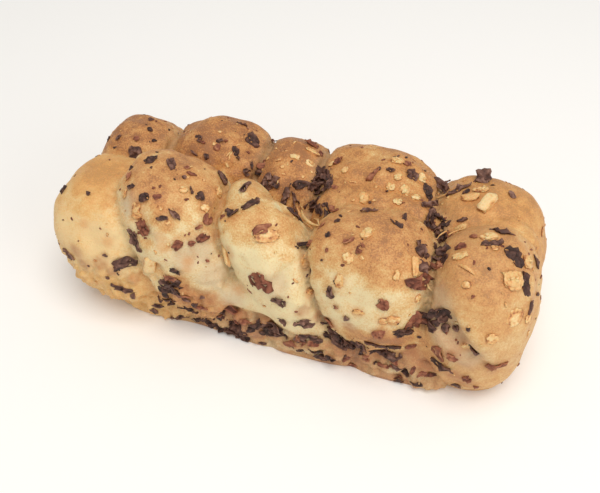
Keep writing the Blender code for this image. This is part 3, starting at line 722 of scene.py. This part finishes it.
def add_flake(pieces, tree, spot, along, long, wide, draw, thick=1, crumple=1, tilt=0):
    """A dry flake: a thin ragged sheet, crumpled, cupped at one edge and baked into the crust."""
    centre, normal = spot
    side = normal.cross(along).normalized()
    along = side.cross(normal)
    stand = normal
    if tilt:
        spin = Matrix.Rotation(math.radians(tilt), 3, along)
        stand = spin @ normal
        side = spin @ side
        centre = centre + normal * (wide * 0.3 * abs(math.sin(math.radians(tilt))))
    outline = torn_outline(draw, draw.choice((3, 4, 4, 5)), FLAKE_STEPS)
    lift_way = draw.uniform(0, math.tau)
    cup = draw.uniform(0.1, 0.9) * min(1.7, wide / 3)
    bow = draw.uniform(-0.5, 0.9)
    crumple *= 0.9 + 0.09 * long
    shift = Vector((draw.uniform(-50, 50), draw.uniform(-50, 50), 0))
    tops, bottoms, rims = [], [], []
    for ring in (0,) + FLAKE_RINGS:
        for step in range(FLAKE_STEPS if ring else 1):
            angle = step * math.tau / FLAKE_STEPS
            reach = ring * outline[step] * FLAKE_GROWTH / 2
            x, y = math.cos(angle) * reach * long, math.sin(angle) * reach * wide
            base = centre + along * x + side * y
            base = base if tilt else settle(tree, base, normal, FLAKE_LIE)
            here = Vector((x, y, 0)) + shift
            fold = sum(high * noise.noise(here / span) for span, high in FLAKE_FOLDS)
            height = FLAKE_RISE + crumple * fold
            height += cup * ring ** 2 * (0.3 + 0.7 * math.cos(angle - lift_way))
            height -= bow * 0.5 * (y / wide) ** 2 + 0.25 * ring ** 3
            tops.append(base + stand * height)
            bottoms.append(base + stand * (height - thick * (1 - 0.4 * ring ** 2)))
            # From the folds' height: lighter on raised folds as painted highlight and darker in their
            # hollows as painted shade; the outer ring gets a lighter brown edge, the flake's own
            # colour.
            rims.append(min(1, max(0, 0.42 + 0.8 * fold + (0.2 if ring == 1 else 0))))
    count = len(tops)
    faces = []
    for step in range(FLAKE_STEPS):
        after = (step + 1) % FLAKE_STEPS
        faces.append((0, 1 + step, 1 + after))
        faces.append((count, count + 1 + after, count + 1 + step))
        for ring in range(len(FLAKE_RINGS) - 1):
            near, far = 1 + ring * FLAKE_STEPS, 1 + (ring + 1) * FLAKE_STEPS
            faces.append((near + step, far + step, far + after, near + after))
            faces.append(
                (count + near + step, count + near + after, count + far + after, count + far + step)
            )
        outer = 1 + (len(FLAKE_RINGS) - 1) * FLAKE_STEPS
        faces.append((outer + step, count + outer + step, count + outer + after, outer + after))
    pieces.add(tops + bottoms, faces, draw.random(), rims + rims)


def unit_blob(steps):
    bm = bmesh.new()
    bmesh.ops.create_icosphere(bm, subdivisions=steps, radius=1)
    points = [vert.co.copy() for vert in bm.verts]
    faces = [tuple(vert.index for vert in face.verts) for face in bm.faces]
    bm.free()
    return points, faces


LUMP_BLOB = unit_blob(4)
CRUMB_BLOB = unit_blob(3)
SPECK_BLOB = unit_blob(2)

# A crumb's knobs: how fine, and how high.
KNOBS = ((1.4, 1), (3.3, 0.6), (6, 0.4))


def add_crumb(
    pieces, spot, along, long, wide, high, draw,
    blob=CRUMB_BLOB, lumpy=0.36, sunk=0.3, power=PILLOW, browned=0,
):
    """A crumb of baked cheese: an uneven lump, part of it sunk in the crust."""
    centre, normal = spot
    side = normal.cross(along).normalized()
    along = side.cross(normal)
    shift = Vector((draw.uniform(-9, 9), draw.uniform(-9, 9), draw.uniform(-9, 9)))
    points, rims = [], []
    for unit in blob[0]:
        knobs = sum(high * noise.noise(unit * fine + shift) for fine, high in KNOBS)
        shaped = pillow(unit, power) * (1 + lumpy * knobs)
        points.append(
            centre + along * (shaped.x * long / 2) + side * (shaped.y * wide / 2)
            + normal * (shaped.z * high / 2 + high * (0.5 - sunk))
        )
        # Higher on the lower side and in the pits between knobs, lower on the knobs: in the cheese
        # this is partly browning and partly painted shade below and in the pits, and painted highlight
        # on the knobs.
        rims.append(min(1, max(0, 0.4 - 0.7 * unit.z - 0.9 * knobs + browned)))
    pieces.add(points, blob[1], draw.random(), rims)


def add_cheese(pieces, tree, spot, along, long, wide, draw):
    """Baked grated cheese: granules of many sizes, melted into one low uneven lump."""
    high = min(0.42 * wide, 2.4)
    add_crumb(pieces, spot, along, 0.94 * long, 0.94 * wide, high, draw, LUMP_BLOB, 0.26, 0.36)
    side = spot[1].cross(along).normalized()
    for _ in range(2 + int(0.14 * long * wide)):
        angle = draw.uniform(0, math.tau)
        reach = 0.3 * math.sqrt(draw.uniform(0.05, 1))
        start = spot[0] + along * (reach * long * math.cos(angle))
        start += side * (reach * wide * math.sin(angle))
        place, normal, _, _ = tree.ray_cast(start + spot[1] * 3, -spot[1], 9)
        if place:
            size = draw.uniform(0.2, 0.48) * min(wide, 4.5)
            lifted = place + normal * (draw.uniform(0, 0.9) * (0.4 - reach) * high * 2)
            way = Vector([draw.uniform(-1, 1) for _ in range(3)])
            tall = size * draw.uniform(0.5, 0.9)
            drawn_out = size * draw.uniform(1, 1.8)
            add_crumb(
                pieces, (lifted, normal), way, drawn_out, size, tall, draw, SPECK_BLOB, 0.6, 0.2,
            )


def add_strand(pieces, tree, start, end, thick, draw):
    """A dry strand from one picture point to another, arched and tapering."""
    first, last = seen_spot(tree, *start), seen_spot(tree, *end)
    if first is None or last is None:
        return
    ahead = last[0] - first[0]
    lift = (first[1] + last[1]).normalized()
    side = lift.cross(ahead).normalized()
    sway = draw.uniform(-0.12, 0.12) * ahead.length
    points, faces = [], []
    steps, corners = 12, 6
    for step in range(steps + 1):
        part = step / steps
        arch = math.sin(part * math.pi)
        centre = first[0] + ahead * part + lift * (0.3 + 0.9 * arch) + side * (sway * arch)
        centre = settle(tree, centre, lift, 0.5) + lift * 0.3
        radius = thick / 2 * (0.35 + 0.65 * arch)
        for corner in range(corners):
            angle = corner * math.tau / corners
            points.append(centre + (lift * math.cos(angle) * 0.7 + side * math.sin(angle)) * radius)
    for step in range(steps):
        for corner in range(corners):
            near, after = step * corners + corner, step * corners + (corner + 1) % corners
            faces.append((near, after, after + corners, near + corners))
    faces.append(tuple(range(corners))[::-1])
    faces.append(tuple(range(steps * corners, (steps + 1) * corners)))
    pieces.add(points, faces, draw.random(), [0.12] * len(points))


# Materials

def add_node(tree, kind, sockets, gives=0, **settings):
    """Adds a node with its settings, fills its sockets with values or other nodes' results, and
    returns the one of its own results that is asked for."""
    node = tree.nodes.new("ShaderNode" + kind)
    for name, value in settings.items():
        setattr(node, name, value)
    for socket, source in sockets.items():
        if isinstance(source, bpy.types.NodeSocket):
            tree.links.new(source, node.inputs[socket])
        else:
            node.inputs[socket].default_value = source
    return node.outputs[gives] if node.outputs else None


def new_material(name):
    material = bpy.data.materials.new(name)
    material.use_nodes = True
    tree = material.node_tree
    tree.nodes.clear()
    return material, tree


def added_up(tree, total, parts):
    """A total with patterns added to it, each times its strength."""
    for pattern, strength in parts:
        total = add_node(
            tree, "Math", {0: pattern, 1: strength, 2: total}, operation="MULTIPLY_ADD"
        )
    return total


def fill_ramp(ramp, stops):
    """Fills a ramp of colours with stops, each a level and a hex colour."""
    while len(ramp.elements) < len(stops):
        ramp.elements.new(0.5)
    for element, (place, colour) in zip(ramp.elements, stops):
        element.position = place
        element.color = to_linear(colour)


def baked_crust():
    """Bread crust, browned where it faced up: matt, finely grained, freckled by the oven, with painted
    shade in its creases and hollows.
    """
    material, tree = new_material("baked crust")
    place = add_node(tree, "TexCoord", {}, "Object")
    # What is painted on the mesh, point by point, under these names.
    bake, golden, rosy, valley, crease, hollow_shade, band, stain, onion_stain, cheese_stain = (
        add_node(tree, "Attribute", {}, "Fac", attribute_name=name)
        for name in (
            "bake", "golden", "rosy", "valley", "crease", "hollow_shade", "band", "stain",
            "onion_stain", "cheese_stain",
        )
    )
    # Patches 5 mm apart, and the crust's grain of 0.8 mm.
    mottle, grain = (
        add_node(
            tree, "TexNoise",
            {"Vector": place, "Scale": 1 / (span * MM), "Detail": detail, "Roughness": rough},
        )
        for span, detail, rough in ((5, 6, 0.62), (0.8, 3, 0.65))
    )
    # Oven freckles 2.6 mm apart in some of the patches, and the brown parts' small pale bubbles,
    # 1.5 mm apart: 1 in their middles and 0 between them.
    dots = []
    for span, sharpness in ((2.6, 7), (1.5, 5)):
        cells = {"Vector": place, "Scale": 1 / (span * MM), "Randomness": 1}
        inside = added_up(tree, 1, ((add_node(tree, "TexVoronoi", cells), -sharpness),))
        dots.append(add_node(tree, "Math", {0: inside, 1: 0}, operation="MAXIMUM"))
    freckles, bubbles = dots
    patchy = add_node(tree, "Math", {0: mottle, 1: 0.5}, operation="GREATER_THAN")
    # The patterns swing about one half, so half of their strengths is taken off the browning.
    level = added_up(tree, -(0.8 + 1.2) / 2, ((bake, 1), (mottle, 0.8), (grain, 1.2)))
    # From pale dough to deep brown.
    colour = add_node(tree, "ValToRGB", {"Fac": level})
    fill_ramp(
        colour.node.color_ramp,
        (
            (0.0, "#ebdbac"), (0.2, "#e6cc98"), (0.42, "#dcb67b"), (0.6, "#d2a064"),
            (0.78, "#c68b51"), (0.9, "#b67b48"), (1.0, "#9e6a41"),
        ),
    )
    # What lies over it, one after the other: where, what narrows it, how strongly, and its colour.
    for where, also, strength, over in (
        (golden, 1, 0.6, "#e8b168"),
        (rosy, 1, 0.6, "#c99f7c"),
        (valley, valley, 0.4, "#cfb388"),
        # Painted shade: a darker colour along the creases between the balls.
        (crease, 1, 0.4, "#957450"),
        # Painted shade: the listed hollows made greyer and darker.
        (hollow_shade, 1, 0.5, "#c2a78c"),
        (band, 1, 0.2, "#a17b62"),
        (stain, mottle, 1.1, "#b4774c"),
        (onion_stain, 1, 0.3, "#a2683c"),
        (cheese_stain, 1, 0.45, "#d08c4e"),
        (freckles, patchy, 0.7, "#a8693c"),
        (bubbles, bake, 0.55, "#e8c596"),
    ):
        both = add_node(tree, "Math", {0: where, 1: also}, operation="MULTIPLY")
        cover = add_node(tree, "Math", {0: both, 1: strength}, operation="MULTIPLY")
        layers = {"Factor": cover, 6: colour, 7: to_linear(over)}
        colour = add_node(tree, "Mix", layers, 2, data_type="RGBA")
    # Relief that only the light shows: the grain's, and the patches' over it.
    relief = add_node(tree, "Bump", {"Height": grain, "Strength": 0.8, "Distance": 0.45 * MM})
    relief = add_node(
        tree, "Bump", {"Height": mottle, "Normal": relief, "Strength": 0.6, "Distance": 0.5 * MM}
    )
    surface = add_node(
        tree, "BsdfPrincipled",
        {
            "Base Color": colour, "Normal": relief, "Roughness": 0.55, "IOR": 1.45,
            "Subsurface Weight": 0.06, "Subsurface Scale": 1.5 * MM,
        },
    )
    add_node(tree, "OutputMaterial", {"Surface": surface})
    return material


def dried_onion(name, stops, roughness):
    """Kibbled onion, dried and then baked: leathery, crumpled, a little shiny on its folds, with
    painted highlight on its raised folds and painted shade in the hollows between them.
    """
    material, tree = new_material(name)
    place = add_node(tree, "TexCoord", {}, "Object")
    tint, rim = (
        add_node(tree, "Attribute", {}, "Fac", attribute_name=name) for name in ("tint", "rim")
    )
    # Wrinkles and streaks of colour, 1.6 mm apart.
    streaks = add_node(
        tree, "TexNoise",
        {"Vector": place, "Scale": 1 / (1.6 * MM), "Detail": 5, "Roughness": 0.7},
    )
    # The rim value paints the raised folds lighter, as painted highlight, and their hollows darker, as
    # painted shade.
    shade = added_up(tree, -0.25, ((tint, 0.35), (rim, 0.6), (streaks, 0.6)))
    colour = add_node(tree, "ValToRGB", {"Fac": shade})
    fill_ramp(colour.node.color_ramp, stops)
    relief = add_node(tree, "Bump", {"Height": streaks, "Strength": 0.8, "Distance": 0.8 * MM})
    surface = add_node(
        tree, "BsdfPrincipled",
        {
            "Base Color": colour, "Normal": relief, "Roughness": roughness, "IOR": 1.45,
            "Specular IOR Level": 0.45,
        },
    )
    add_node(tree, "OutputMaterial", {"Surface": surface})
    return material


def baked_cheese():
    """Grated cheese, melted and dried in the oven: pale gold, browned and with painted shade on its
    lower side and in its pits, and paler on its knobs as painted highlight.
    """
    material, tree = new_material("baked cheese")
    place = add_node(tree, "TexCoord", {}, "Object")
    tint, rim = (
        add_node(tree, "Attribute", {}, "Fac", attribute_name=name) for name in ("tint", "rim")
    )
    # Granules 1.1 mm apart.
    grain = add_node(
        tree, "TexNoise",
        {"Vector": place, "Scale": 1 / (1.1 * MM), "Detail": 4, "Roughness": 0.65},
    )
    # Darker where the rim value is high: partly browning, partly painted shade on the lower side and
    # in the pits; the knobs paler as painted highlight.
    shade = added_up(tree, -0.14, ((rim, 0.6), (tint, 0.25), (grain, 0.8)))
    colour = add_node(tree, "ValToRGB", {"Fac": shade})
    fill_ramp(
        colour.node.color_ramp,
        (
            (0.2, "#ecd09a"), (0.42, "#e2b87c"), (0.6, "#d9a264"), (0.8, "#bf824d"), (0.96, "#8f5833"),
        ),
    )
    relief = add_node(tree, "Bump", {"Height": grain, "Strength": 0.5, "Distance": 0.3 * MM})
    surface = add_node(
        tree, "BsdfPrincipled",
        {
            "Base Color": colour, "Normal": relief, "Roughness": 0.5, "IOR": 1.45,
            "Subsurface Weight": 0.15, "Subsurface Scale": 1.5 * MM,
        },
    )
    add_node(tree, "OutputMaterial", {"Surface": surface})
    return material


# Stage

def aim(obj, target):
    obj.rotation_euler = (Vector(target) - obj.location).to_track_quat("-Z", "Y").to_euler()


def add_softbox(name, place, size, watts, colour):
    """A round lamp at a place, of a size in metres, aimed at the loaf."""
    light = bpy.data.lights.new(name, "AREA")
    light.shape = "DISK"
    light.size = size
    light.energy = watts
    light.color = to_linear(colour)[:3]
    lamp = bpy.data.objects.new(name, light)
    bpy.context.scene.collection.objects.link(lamp)
    lamp.location = place
    aim(lamp, (0, 0, 0.03))


def add_stage():
    """White paper under the loaf, a bright room, and a large soft lamp above and to the right."""
    bpy.ops.mesh.primitive_plane_add(size=6, location=(0, 0, 0))
    floor = bpy.context.object
    floor.name = "floor"
    material, tree = new_material("pale paper")
    surface = add_node(
        tree, "BsdfPrincipled",
        {"Base Color": to_linear("#fbfaf8"), "Roughness": 0.9, "Specular IOR Level": 0.1},
    )
    add_node(tree, "OutputMaterial", {"Surface": surface})
    floor.data.materials.append(material)
    world = bpy.data.worlds.new("studio")
    bpy.context.scene.world = world
    world.use_nodes = True
    backdrop = world.node_tree.nodes["Background"]
    backdrop.inputs["Color"].default_value = to_linear("#ffffff")
    backdrop.inputs["Strength"].default_value = 0.5
    add_softbox("overhead", (0.2, -0.3, 1.3), 0.9, 10.5, "#fffaf2")
    add_softbox("right fill", (1.2, -0.6, 0.7), 0.9, 4.2, "#ffffff")


def add_camera():
    data = bpy.data.cameras.new("eye")
    data.sensor_width = SENSOR
    data.lens = FOCAL / PICTURE[0] * SENSOR
    data.clip_start = 0.01
    camera = bpy.data.objects.new("eye", data)
    bpy.context.scene.collection.objects.link(camera)
    camera.location = EYE * MM
    aim(camera, Vector(LOOKED_AT) * MM)
    bpy.context.scene.camera = camera


# Making

def strewn_draws():
    """Where each hidden topping may lie and its size: a sight line's start and end, then lengths."""
    draw = random.Random(STREWN_SEED)
    for _ in range(STREWN_TRIES):
        heading = math.radians(draw.uniform(0, 360))
        level = draw.uniform(0, 1)
        along_loaf = draw.uniform(-STREWN_SPAN, STREWN_SPAN) * LOAF_SIZE[0]
        end = Vector((along_loaf, 0, draw.uniform(*STREWN_HEIGHTS)))
        start = end + Vector((math.cos(heading), math.sin(heading), level)) * LOAF_SIZE[0]
        long = draw.uniform(*STREWN_LONG)
        wide = long * draw.uniform(*STREWN_NARROW)
        along = Vector([draw.uniform(-1, 1) for _ in range(3)])
        yield start, end, along, long, wide


def shows_over_outline(tree, place, normal, reach):
    """Whether a topping on the far side would stand out over the outline that the picture shows."""
    for aside in (Vector(), RIGHT * reach, -RIGHT * reach, UP * reach):
        away = place + aside + normal * 2.5 - EYE
        if tree.ray_cast(EYE, away.normalized(), away.length)[0] is None:
            return True
    return False


def strewn_toppings(tree, places):
    """Toppings where the picture doesn't reach: no two nearer than the gap."""
    made = 0
    for start, end, along, long, wide in strewn_draws():
        place, normal, _, _ = tree.ray_cast(start, (end - start).normalized())
        if place is None or normal.dot((EYE - place).normalized()) > -STREWN_TURNED_AWAY:
            continue
        if normal.z < STREWN_LOWEST_SLOPE or place.z < STREWN_LOWEST:
            continue
        if any((place - other).length < STREWN_GAP for other in places):
            continue
        places.append(place)
        if not shows_over_outline(tree, place, normal, long / 2):
            yield (place, normal), along, long, wide
        made += 1
        if made == STREWN:
            break


def scatter_spots(tree, count, draw, lowest, highest):
    """Places all round the loaf between two heights, more of them on its upper faces."""
    made = 0
    while made < count:
        heading = draw.uniform(0, math.tau)
        along_loaf = draw.uniform(-SCATTER_ALONG, SCATTER_ALONG) * LOAF_SIZE[0]
        across_loaf = draw.uniform(-SCATTER_ACROSS, SCATTER_ACROSS)
        end = Vector((along_loaf, across_loaf, draw.uniform(0, SCATTER_UP)))
        level = draw.uniform(0, SCATTER_SLOPE)
        start = end + Vector((math.cos(heading), math.sin(heading), level)) * LOAF_SIZE[0]
        place, normal, _, _ = tree.ray_cast(start, (end - start).normalized())
        if place and lowest < place.z < highest:
            made += 1
            yield (place, normal), Vector([draw.uniform(-1, 1) for _ in range(3)])


def seen_toppings(tree, rows):
    for across, down, long, wide, turn in rows:
        spot = seen_spot(tree, across, down)
        if spot:
            angle = math.radians(turn)
            yield spot, RIGHT * math.cos(angle) + UP * math.sin(angle), long, wide


def add_stain(stain, points, spots, spread):
    """Marks the crust next to each topping, where its juices or fat browned it."""
    for place, reach in spots:
        away = np.linalg.norm(points - np.array(place), axis=1)
        stain = np.maximum(stain, np.exp(-(np.maximum(away - reach * 0.7, 0) / spread) ** 2))
    return stain


def lay_toppings(tree, dark, red, cheese, draw):
    """Puts all toppings on the crust, and gives what onion and what cheese stained."""
    by_onion, by_cheese = [], []

    def lay(table, put, stained, part=4):
        """Puts a table's pieces in place; each stains a part of its length and width together."""
        for spot, along, long, wide in seen_toppings(tree, table):
            put(spot, along, long, wide)
            stained.append((spot[0], (long + wide) / part))

    def flake(pieces, **form):
        return lambda *piece: add_flake(pieces, tree, *piece, draw, **form)

    def melted(spot, along, long, wide):
        high = min(0.16 * wide, 0.9)
        add_crumb(cheese, spot, along, long, wide, high, draw, LUMP_BLOB, lumpy=0.22, browned=0.45)

    def stick(spot, along, long, wide):
        add_crumb(cheese, spot, along, long, wide, 0.5 * wide, draw, lumpy=0.2, power=STICK_PILLOW)

    def small_cheese(spot, along, long, wide):
        add_crumb(cheese, spot, along, long, wide, 0.34 * wide, draw, lumpy=0.34, browned=0.4)

    lay(DARK_ONION, flake(dark), by_onion)
    lay(RED_ONION, flake(red), by_onion)
    lay(CHEESE, lambda *piece: add_cheese(cheese, tree, *piece, draw), by_cheese)
    lay(MELTED, melted, by_cheese)
    lay(STICKS, stick, by_cheese)
    places = [place for place, _ in by_onion + by_cheese]
    for across, down, radius in GOLDEN_MARKS:
        by_cheese.append((seen_spot(tree, across, down)[0], radius))
    for spot, along, long, wide in strewn_toppings(tree, places):
        kind = draw.random()
        if kind < DARK_SHARE + RED_SHARE:
            strewn = dark if kind < DARK_SHARE else red
            add_flake(strewn, tree, spot, along, long, wide, draw, thick=0.6, crumple=0.35)
            by_onion.append((spot[0], (long + wide) / 4))
        else:
            add_cheese(cheese, tree, spot, along, 0.8 * long, wide, draw)
            by_cheese.append((spot[0], (long + wide) / 4))
    lay(SMALL_DARK, flake(dark, thick=0.8, crumple=0.6), by_onion, 5)
    lay(SMALL_RED, flake(red, thick=0.8, crumple=0.6), by_onion, 5)
    lay(SMALL_CHEESE, small_cheese, by_cheese, 5)
    for *row, tilt in UPRIGHT:
        for piece in seen_toppings(tree, (row,)):
            flake(dark, thick=0.6, tilt=tilt)(*piece)
    for start, end, thick in STRANDS:
        add_strand(cheese, tree, start, end, thick, draw)
    for spot, along in scatter_spots(tree, BAND_FLAKES, draw, *BAND_FLAKE_HEIGHTS):
        long = draw.uniform(*BAND_FLAKE_SIZE)
        kind = dark if draw.random() < BAND_DARK_SHARE else red
        add_flake(kind, tree, spot, along, long, long * draw.uniform(0.3, 0.7), draw, 0.8, 0.6)
    for spot, along in scatter_spots(tree, SPECKS, draw, *SPECK_HEIGHTS):
        size = draw.uniform(*SPECK_SIZE)
        kind = draw.choice((dark, red, red, cheese, cheese))
        stretched = size * draw.uniform(1, 2.4)
        add_crumb(kind, spot, along, stretched, size, size * 0.5, draw, SPECK_BLOB, 0.6, browned=0.3)
    return by_onion, by_cheese


def main():
    crust, middle, stretch = fused_dough()
    marks = shape_crust(crust, middle, stretch)
    mesh = crust.data
    points = mesh_points(mesh)
    tree = surface_tree(mesh, points)
    dark, red, cheese = Pieces(), Pieces(), Pieces()
    by_onion, by_cheese = lay_toppings(tree, dark, red, cheese, random.Random(SEED))
    levels = bake_levels(points, mesh_normals(mesh), marks)
    # Each ball's own darker and paler places, some of them paler as painted light from the right.
    for across, down, radius, browner in TONED:
        spot = seen_spot(tree, across, down)
        if spot:
            near = np.linalg.norm(points - np.array(spot[0]), axis=1) / (TONED_SPREAD * radius)
            levels["bake"] += browner * np.where(near < 1, (1 - near ** 2) ** 2, 0)
    for name, values in levels.items():
        add_attribute(mesh, name, values)
    # The creases, which the crust darkens as painted shade, the valleys beside them and the lower
    # bands.
    for name in ("crease", "valley", "band"):
        add_attribute(mesh, name, marks[name])
    clean = np.zeros(len(points))
    # Reddish stains, and the painted shade in the listed hollows.
    for name, table, edge in (("stain", STAINS, STAIN_EDGE), ("hollow_shade", HOLLOW_SHADE_SPOTS, HOLLOW_SHADE_EDGE)):
        spots = [(seen_spot(tree, across, down), radius) for across, down, radius in table]
        spots = [(spot[0], radius) for spot, radius in spots if spot]
        add_attribute(mesh, name, add_stain(clean, points, spots, edge))
    add_attribute(mesh, "onion_stain", add_stain(clean, points, by_onion, ONION_STAIN_EDGE))
    add_attribute(mesh, "cheese_stain", add_stain(clean, points, by_cheese, CHEESE_STAIN_EDGE))
    set_points(mesh, points * MM)
    mesh.shade_smooth()
    mesh.materials.append(baked_crust())
    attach(crust, "root")
    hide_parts("loaf")
    dark_stops = ((0.1, "#2a1913"), (0.4, "#4b3028"), (0.66, "#684538"), (1.0, "#967060"))
    red_stops = ((0.1, "#5a3024"), (0.42, "#854b35"), (0.68, "#a06346"), (1.0, "#bd8660"))
    dark.make("dark_onion", dried_onion("dark baked onion", dark_stops, 0.48), "onion")
    red.make("red_onion", dried_onion("red baked onion", red_stops, 0.52), "onion")
    cheese.make("cheese_crumbs", baked_cheese(), "cheese")


add_camera()
add_stage()
main()
bpy.context.scene.view_settings.view_transform = "Standard"
